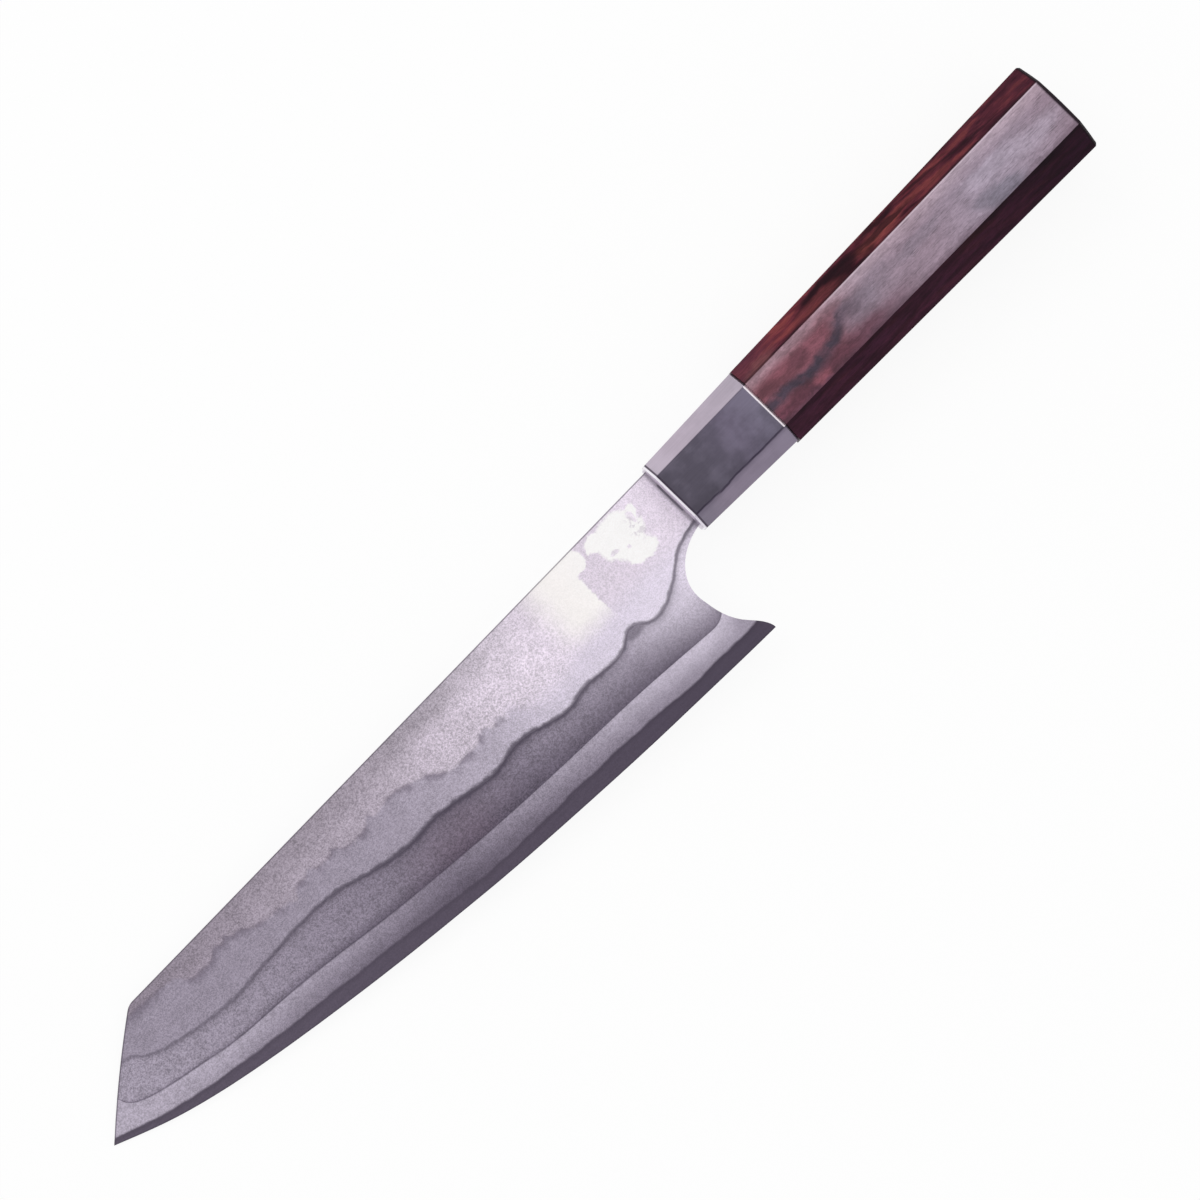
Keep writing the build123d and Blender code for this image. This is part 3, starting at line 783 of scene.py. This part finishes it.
def satin_metal():
    """The ferrule's satin metal."""
    sheet = steel_sheet("satin_ferrule_metal")
    tree, x = sheet["tree"], sheet["x"]
    across, half = facet_marks(tree, x, sheet["y"], (0.0, 6.55, -6.55), (ferrule_length, 6.60, -7.0))
    inside = maths(tree, "SUBTRACT", half, maths(tree, "ABSOLUTE", across))
    outer = maths(tree, "GREATER_THAN", maths(tree, "ABSOLUTE", sheet["z"]), outer_facets_from)
    flat = maths(tree, "MULTIPLY", fade(tree, inside, -0.06, 0.06), outer)
    length_share = maths(tree, "DIVIDE", x, ferrule_length)
    haze = clouds(tree, sheet["place"], 0.17, 3.0, 0.55)
    lines = clouds(tree, stretch(tree, sheet["place"], 0.1, 3.4, 3.4), 1.0, 3.0, 0.55)

    # Painted reflections stand in for the studio that each facet mirrors: the flat facet's dark grey, darker
    # towards its lower border; the spine-side facet's pale lilac; and the edge-side facet's middle tone, darker
    # next to the flat.
    dark = ramp(tree, length_share, (
        (0.0, (97, 91, 105)), (0.35, (102, 96, 111)), (0.7, (114, 106, 125)), (1.0, (119, 113, 131)),
    ))
    low_dusk = fade(tree, across, -6.6, -2.0, 0.80, 1.0)
    dark = shaded(tree, dark, maths(tree, "MULTIPLY", low_dusk, swing(tree, haze, 0.86, 1.14)))
    pale = ramp(tree, length_share, ((0.0, (192, 181, 195)), (0.3, (190, 177, 192)), (1.0, (181, 170, 184))))
    mid = ramp(tree, length_share, ((0.0, (124, 117, 132)), (0.3, (136, 125, 142)), (1.0, (137, 127, 145))))
    near_flat = fade(tree, across, -8.2, -7.0)
    mid = laid(tree, mid, near_flat, 0.5, (106, 97, 115))
    spine_side = maths(tree, "GREATER_THAN", across, 0.0)
    slanted = blend(tree, spine_side, mid, pale)
    slanted = shaded(tree, slanted, swing(tree, haze, 0.95, 1.05))
    colour = blend(tree, flat, slanted, dark)
    colour = shaded(tree, colour, swing(tree, lines, 0.97, 1.03))

    # Painted shade: thin dark lines along the borders of the flat facet, the lower one wavy.
    wave = clouds(tree, stretch(tree, sheet["place"], 0.16, 0.0, 0.0), 1.0, 2.0)
    wave = maths(tree, "MULTIPLY", fade(tree, wave, 0.3, 0.7, -0.25, 0.25), fade(tree, x, 8.0, 20.0, 1.0, 0.35))
    low_border = maths(tree, "ADD", maths(tree, "ADD", across, half), wave)
    low_border_shade = fade(tree, maths(tree, "ABSOLUTE", low_border), 0.09, 0.42, 1.0, 0.0)
    low_border_shade = maths(tree, "MULTIPLY", low_border_shade, fade(tree, haze, 0.40, 0.60, 0.7, 1.0))
    high_border = maths(tree, "ABSOLUTE", maths(tree, "SUBTRACT", across, half))
    high_border_shade = fade(tree, high_border, 0.05, 0.22, 0.6, 0.0)
    border_painted_shade = maths(tree, "MULTIPLY", maths(tree, "MAXIMUM", low_border_shade, high_border_shade), outer)
    colour = laid(tree, colour, border_painted_shade, 0.85, (50, 42, 60))

    # Painted highlight: the rear chamfer shows as a near-white line across the flat facet.
    end_chamfer_highlight = maths(tree, "MULTIPLY", fade(tree, x, 29.95, 30.15), flat)
    colour = blend(tree, end_chamfer_highlight, colour, tone(252, 244, 250))
    # Painted shade in the groove between the rear chamfer and the wood, on the slanted facets.
    end_groove_shade = maths(tree, "MULTIPLY", fade(tree, x, 30.55, 30.75), maths(tree, "SUBTRACT", 1.0, flat))
    colour = laid(tree, colour, end_groove_shade, 0.6, (150, 134, 148))
    # Painted shade: a dark line along the front border of the facets.
    crest = fade(tree, maths(tree, "ABSOLUTE", maths(tree, "SUBTRACT", x, 0.78)), 0.12, 0.38, 0.85, 0.0)
    colour = blend(tree, crest, colour, tone(66, 58, 72))
    # Painted highlight: the front chamfer is painted near white and the front face pale lilac.
    front_highlight = fade(tree, x, 0.45, 0.62, 1.0, 0.0)
    face = blend(tree, fade(tree, x, 0.02, 0.12), tone(216, 207, 220), tone(248, 244, 251))
    colour = blend(tree, front_highlight, colour, face)
    roughness = fade(tree, haze, 0.3, 0.7, 0.30, 0.38)
    sheet["fine"] = lines
    return finish_steel(sheet, colour, roughness, 0.12, 0.85)


dress("ferrule", satin_metal())

# %% [markdown]
# The grip is a dense red-brown hardwood under oil and polish. A real board has its figure all through, so the
# wood is a solid pattern: long streaks from clouds stretched along the grain, a slow swirl that bends them,
# dark veins that run at a small angle, and fine open pores.

# %% Grip wood: the board's own figure
grip_length = handle_length - ferrule_length
pore_depth = 0.00005
left_facet_from = 8.6


def grip_share(tree, x):
    """How far along the grip a place lies: 0 at the ferrule and 1 at the butt."""
    return maths(tree, "MULTIPLY_ADD", x, 1 / grip_length, -ferrule_length / grip_length)


def wood_sheet(name):
    """The start of the grip's material, with its facets told apart."""
    made = blank_material(name)
    tree = made.node_tree
    place, x, y, z = knife_place(tree)
    across, half = facet_marks(tree, x, y, (ferrule_length, 6.7, -6.85), (135.0, 7.0, -7.2))
    inside = maths(tree, "SUBTRACT", half, maths(tree, "ABSOLUTE", across))
    upper = maths(tree, "GREATER_THAN", z, left_facet_from)
    sheet = {"material": made, "tree": tree, "place": place, "x": x, "across": across, "half": half}
    sheet["flat"] = maths(tree, "MULTIPLY", fade(tree, inside, -0.06, 0.06), upper)
    sheet["low"] = maths(tree, "LESS_THAN", maths(tree, "ADD", across, half), 0.0)
    sheet["fine"] = clouds(tree, stretch(tree, place, 0.5, 3.2, 3.2), 1.0, 3.0, 0.6)
    sheet["length"] = grip_share(tree, x)
    return sheet


def wood_figure(sheet):
    """Red-brown wood with dark veins and warmer tongues, and the main marks of the photographed board."""
    tree = sheet["tree"]
    slope = add(tree, "ShaderNodeMapping")
    put(tree, slope.inputs["Vector"], sheet["place"])
    slope.inputs["Rotation"].default_value = (0, 0, math.radians(6))
    bent = warped(tree, warped(tree, slope.outputs[0], 0.05, 6.0), 0.22, 1.2)
    streaks = clouds(tree, stretch(tree, bent, 0.04, 0.34, 0.34), 1.0, 3.0, 0.55)
    colour = ramp(tree, streaks, (
        (0.36, (34, 6, 17)), (0.44, (62, 19, 32)), (0.50, (84, 34, 46)), (0.56, (102, 42, 52)),
        (0.64, (126, 58, 60)),
    ))
    veins = clouds(tree, stretch(tree, bent, 0.028, 0.34, 0.2), 1.0, 2.0, 0.5, 0.4)
    vein = maths(tree, "MULTIPLY", fade(tree, veins, 0.53, 0.62), fade(tree, sheet["length"], 0.05, 0.20))
    rough_place = warped(tree, sheet["place"], 0.25, 1.6)
    for centre, radii, share, paint in (
        ((57.0, 8.0), (8.0, 1.5), 0.55, (112, 54, 58)),
        ((78.0, 8.8), (6.5, 1.4), 0.60, (134, 66, 62)),
        ((62.0, 10.4), (9.0, 0.8), 0.85, (30, 8, 18)),
        ((67.5, 9.2), (5.0, 1.0), 0.85, (32, 9, 19)),
        ((80.5, 11.2), (6.0, 0.6), 0.85, (30, 8, 17)),
    ):
        colour = laid(tree, colour, patch(tree, rough_place, centre, radii, 0.5), share, paint)
    vein = maths(tree, "MULTIPLY", vein, fade(tree, sheet["length"], 0.30, 0.50, 0.35, 1.0))
    colour = laid(tree, colour, vein, 0.8, (34, 10, 19))
    colour = blend(tree, fade(tree, sheet["length"], 0.55, 0.95, 0.0, 0.35), colour, tone(86, 40, 58))
    colour = blend(tree, fade(tree, sheet["length"], 0.03, 0.18, 0.75, 0.0), colour, tone(84, 43, 58))
    warm = patch(tree, warped(tree, sheet["place"], 0.2, 3.0), (36.5, 7.6), (4.5, 1.0), 0.7)
    colour = laid(tree, colour, warm, 0.4, (132, 84, 82))
    darker_end = fade(tree, sheet["length"], 0.35, 0.95, 1.0, 0.74)
    grain = swing(tree, sheet["fine"], 0.84, 1.16)
    return shaded(tree, colour, maths(tree, "MULTIPLY", darker_end, grain))


print("wood figure ready")

# %% [markdown]
# The left flat facet carries a lilac-grey sheen in the photograph, strongest towards the butt. It is a painted
# reflection, laid over the figure as a haze: reddish wood with a dark blue vein and a knot by the ferrule, then
# grey-lilac with long pores and cooler blotches. The facets that face the edge lie in painted shade and stay
# almost black-purple. The butt shows end grain inside a dark rim of painted shade.

# %% Grip wood: sheen, shade and finish
facet_width = 14.0
red_wood, blue_smoke, plum, mauve = (110, 62, 74), (108, 104, 118), (85, 48, 60), (150, 130, 145)
lilac, warm_spot, pale_lilac = (160, 146, 163), (138, 78, 90), (175, 162, 179)
sheen_colours = (
    (0.00, (130, 76, 88)), (0.22, (125, 75, 88)), (0.36, mauve), (0.54, mauve), (0.75, lilac), (0.97, mauve),
)
vein_path = (
    (0.0, 0.41), (0.05, 0.40), (0.10, 0.33), (0.135, 0.295), (0.165, 0.355), (0.205, 0.41), (0.25, 0.52),
    (0.275, 0.62), (0.31, 0.60), (0.36, 0.58),
)


def flat_sheen(sheet):
    """The left facet: the board's figure under a painted sheen, laid on as a haze."""
    tree, place, across = sheet["tree"], sheet["place"], sheet["across"]
    rough_place = warped(tree, warped(tree, place, 0.14, 2.6), 0.6, 1.2)
    rough_x, rough_y = split_place(tree, rough_place)[:2]
    rough_length = grip_share(tree, rough_x)
    colour = ramp(tree, rough_length, sheen_colours)
    # Painted sheen, lighter towards the facet's upper border.
    colour = blend(tree, fade(tree, across, 2.8, 6.4, 0.0, 0.42), colour, tone(196, 172, 184))
    low_red = fade(tree, rough_length, 0.30, 0.52, 1.0, 0.0)
    low_red = maths(tree, "MULTIPLY", fade(tree, rough_y, -5.0, -1.0, 1.0, 0.0), low_red)
    colour = laid(tree, colour, low_red, 0.8, (88, 46, 63))
    colour = blend(tree, fade(tree, rough_y, -7.0, -5.2, 0.45, 0.0), colour, tone(80, 56, 72))
    for centre, radii, soft, share, paint in (
        ((62.0, 0.5), (6.0, 3.2), 0.5, 0.42, blue_smoke),
        ((71.0, 2.2), (4.5, 2.6), 0.6, 0.20, blue_smoke),
        ((56.5, 4.2), (4.0, 1.5), 0.6, 0.40, red_wood),
        ((38.5, 2.6), (5.5, 2.0), 0.6, 0.45, red_wood),
        ((44.0, 1.7), (3.4, 2.2), 0.4, 0.65, plum),
        ((33.0, 2.0), (2.8, 1.2), 0.6, 0.40, plum),
        ((37.8, 0.4), (3.0, 1.1), 0.6, 0.45, plum),
        ((41.2, -4.1), (2.0, 1.3), 0.6, 0.65, plum),
        ((52.0, -5.2), (5.0, 1.8), 0.6, 0.60, plum),
        ((44.8, -5.0), (2.4, 1.3), 0.5, 0.75, warm_spot),
        ((84.0, 1.2), (7.0, 1.6), 0.5, 0.30, blue_smoke),
        ((102.5, -3.4), (4.0, 1.6), 0.5, 0.55, blue_smoke),
        ((107.5, -5.6), (6.0, 1.8), 0.4, 0.65, blue_smoke),
        ((109.0, 0.8), (8.0, 2.0), 0.6, 0.45, pale_lilac),
        ((121.0, -1.2), (9.0, 2.2), 0.6, 0.50, pale_lilac),
        ((107.0, 4.0), (9.0, 1.2), 0.5, 0.40, mauve),
    ):
        colour = laid(tree, colour, patch(tree, rough_place, centre, radii, soft), share, paint)
    path = maths(tree, "MULTIPLY_ADD", curve(tree, rough_length, vein_path), facet_width, -facet_width / 2)
    apart = maths(tree, "ABSOLUTE", maths(tree, "SUBTRACT", rough_y, path))
    dark_vein = fade(tree, rough_length, 0.22, 0.38, 1.0, 0.0)
    dark_vein = maths(tree, "MULTIPLY", fade(tree, apart, 0.3, 2.6, 1.0, 0.0), dark_vein)
    smoke = fade(tree, clouds(tree, place, 0.3, 3.0, 0.6), 0.38, 0.58, 0.70, 0.94)
    colour = blend(tree, maths(tree, "MULTIPLY", dark_vein, smoke), colour, tone(60, 51, 66))
    mottle = clouds(tree, stretch(tree, rough_place, 0.16, 0.4, 1.0), 1.0, 4.0, 0.62)
    near_ferrule = fade(tree, rough_length, 0.15, 0.45, 0.22, 0.08)
    mottle = maths(tree, "MULTIPLY", swing(tree, mottle, -1.0, 1.0), near_ferrule)
    colour = shaded(tree, colour, maths(tree, "ADD", mottle, 1.0))
    ripples = clouds(tree, stretch(tree, rough_place, 0.22, 1.1, 1.0), 1.0, 2.0, 0.5)
    colour = shaded(tree, colour, swing(tree, ripples, 0.93, 1.07))
    scratches = clouds(tree, stretch(tree, warped(tree, place, 0.2, 2.0), 1.1, 2.6, 1.0), 1.0, 2.0, 0.6)
    colour = shaded(tree, colour, swing(tree, scratches, 0.93, 1.07))
    return shaded(tree, colour, swing(tree, sheet["fine"], 0.94, 1.06))


def grip_wood():
    """The figured hardwood of the grip, with its sheen, its shaded facets, its pores and its gloss."""
    sheet = wood_sheet("figured_hardwood")
    tree, place, x = sheet["tree"], sheet["place"], sheet["x"]
    colour = wood_figure(sheet)
    shade_colour = blend(tree, fade(tree, sheet["length"], 0.35, 0.95), tone(58, 25, 44), tone(38, 12, 31))
    blotches = clouds(tree, stretch(tree, place, 0.12, 0.6, 0.6), 1.0, 4.0, 0.6)
    shade_colour = shaded(tree, shade_colour, swing(tree, blotches, 0.66, 1.34))
    shade_colour = shaded(tree, shade_colour, swing(tree, sheet["fine"], 0.84, 1.16))
    shade_colour = blend(tree, 0.3, shade_colour, shaded(tree, colour, 0.3))
    near_flat = fade(tree, maths(tree, "ADD", sheet["across"], sheet["half"]), -1.8, -0.3)
    dimming = maths(tree, "SUBTRACT", 1.0, maths(tree, "MULTIPLY", near_flat, 0.42))
    shade_colour = shaded(tree, shade_colour, dimming)
    colour = blend(tree, sheet["low"], colour, shade_colour)
    colour = blend(tree, sheet["flat"], colour, flat_sheen(sheet))

    pores = clouds(tree, stretch(tree, place, 0.3, 5.0, 5.0), 1.0, 1.0, 0.5)
    pore_share = fade(tree, sheet["length"], 0.15, 0.5, 0.35, 0.8)
    pores = maths(tree, "MULTIPLY", fade(tree, pores, 0.60, 0.68), pore_share)
    colour = shaded(tree, colour, maths(tree, "SUBTRACT", 1.0, maths(tree, "MULTIPLY", pores, 0.35)))
    border = maths(tree, "SUBTRACT", sheet["across"], sheet["half"])
    glint = fade(tree, maths(tree, "ABSOLUTE", maths(tree, "ADD", border, 0.22)), 0.08, 0.28, 1.0, 0.0)
    glint = maths(tree, "MULTIPLY", glint, sheet["flat"])
    glint = maths(tree, "MULTIPLY", glint, fade(tree, sheet["length"], 0.2, 0.33))
    colour = laid(tree, colour, glint, 0.45, (226, 208, 220))
    # Painted shade: a thin dark line just above the flat's upper border, beside the glint.
    border_painted_shade = fade(tree, maths(tree, "ABSOLUTE", maths(tree, "SUBTRACT", border, 0.22)), 0.1, 0.42, 1.0, 0.0)
    colour = laid(tree, colour, border_painted_shade, 0.55, (36, 16, 24))
    # Painted shade: the rounded rim of the butt is painted nearly black, as it turns away from the light;
    # inside it the end face shows its own end grain.
    butt_rim = fade(tree, x, 130.3, 130.9)
    end_grain = blend(tree, swing(tree, blotches), tone(36, 16, 24), tone(72, 36, 44))
    end_grain_and_rim_shade = blend(tree, fade(tree, x, 131.5, 131.8), tone(20, 6, 16), end_grain)
    colour = blend(tree, maths(tree, "MULTIPLY", butt_rim, 0.96), colour, end_grain_and_rim_shade)

    relief = maths(tree, "SUBTRACT", maths(tree, "MULTIPLY", sheet["fine"], 0.35), pores)
    roughness = fade(tree, sheet["fine"], 0.3, 0.7, 0.34, 0.44)
    shader = close_material(tree, colour, roughness, relief, 0.3, pore_depth)
    gloss = maths(tree, "MULTIPLY", sheet["flat"], maths(tree, "SUBTRACT", 1.0, butt_rim))
    put(tree, shader.inputs["Specular IOR Level"], maths(tree, "MULTIPLY_ADD", gloss, 0.19, 0.06))
    return sheet["material"]


dress("handle_wood", grip_wood())

# %% [markdown]
# Two pieces hide inside the handle. The dowel is raw pale wood with plain straight grain, and the resin that
# holds the tang is dark and matt and only shows in the ferrule's slot. They still get true materials, because
# the part may be opened or cut.

# %% Dowel and resin
def plain_wood():
    """Raw straight-grained wood for the dowel."""
    made = blank_material("raw_dowel_wood")
    tree = made.node_tree
    place = knife_place(tree)[0]
    rings = clouds(tree, stretch(tree, place, 0.03, 0.8, 0.8), 1.0, 4.0, 0.6)
    pores = clouds(tree, stretch(tree, place, 0.4, 5.0, 5.0), 1.0, 2.0, 0.5)
    colour = blend(tree, fade(tree, rings, 0.35, 0.65), tone(196, 164, 120), tone(222, 196, 156))
    colour = blend(tree, fade(tree, pores, 0.6, 0.75, 0.0, 0.5), colour, tone(150, 116, 78))
    close_material(tree, colour, fade(tree, rings, 0.3, 0.7, 0.62, 0.74), pores, 0.4, pore_depth)
    return made


def set_resin():
    """Dark matt resin with a faint flow and a few small pits."""
    made = blank_material("set_resin")
    tree = made.node_tree
    place = knife_place(tree)[0]
    flow = clouds(tree, place, 0.6, 3.0, 0.5, 0.8)
    pits = clouds(tree, place, 4.0, 1.0)
    colour = blend(tree, fade(tree, flow, 0.3, 0.7), tone(58, 52, 62), tone(82, 75, 86))
    colour = blend(tree, fade(tree, pits, 0.68, 0.76), colour, tone(36, 32, 38))
    close_material(tree, colour, fade(tree, flow, 0.3, 0.7, 0.5, 0.65), flow, 0.4, pore_depth)
    return made


dress("dowel", plain_wood())
dress("tang_bond", set_resin())

# %% [markdown]
# The picture keeps plain colour handling, so that a colour comes out as it was mixed.

bpy.context.scene.view_settings.view_transform = "Standard"
seen_low, seen_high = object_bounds()
box_pairs = zip((*cad_low, *cad_high), (*seen_low, *seen_high))
print("boxes agree:", all(abs(bare - dressed) < 1e-6 for bare, dressed in box_pairs))
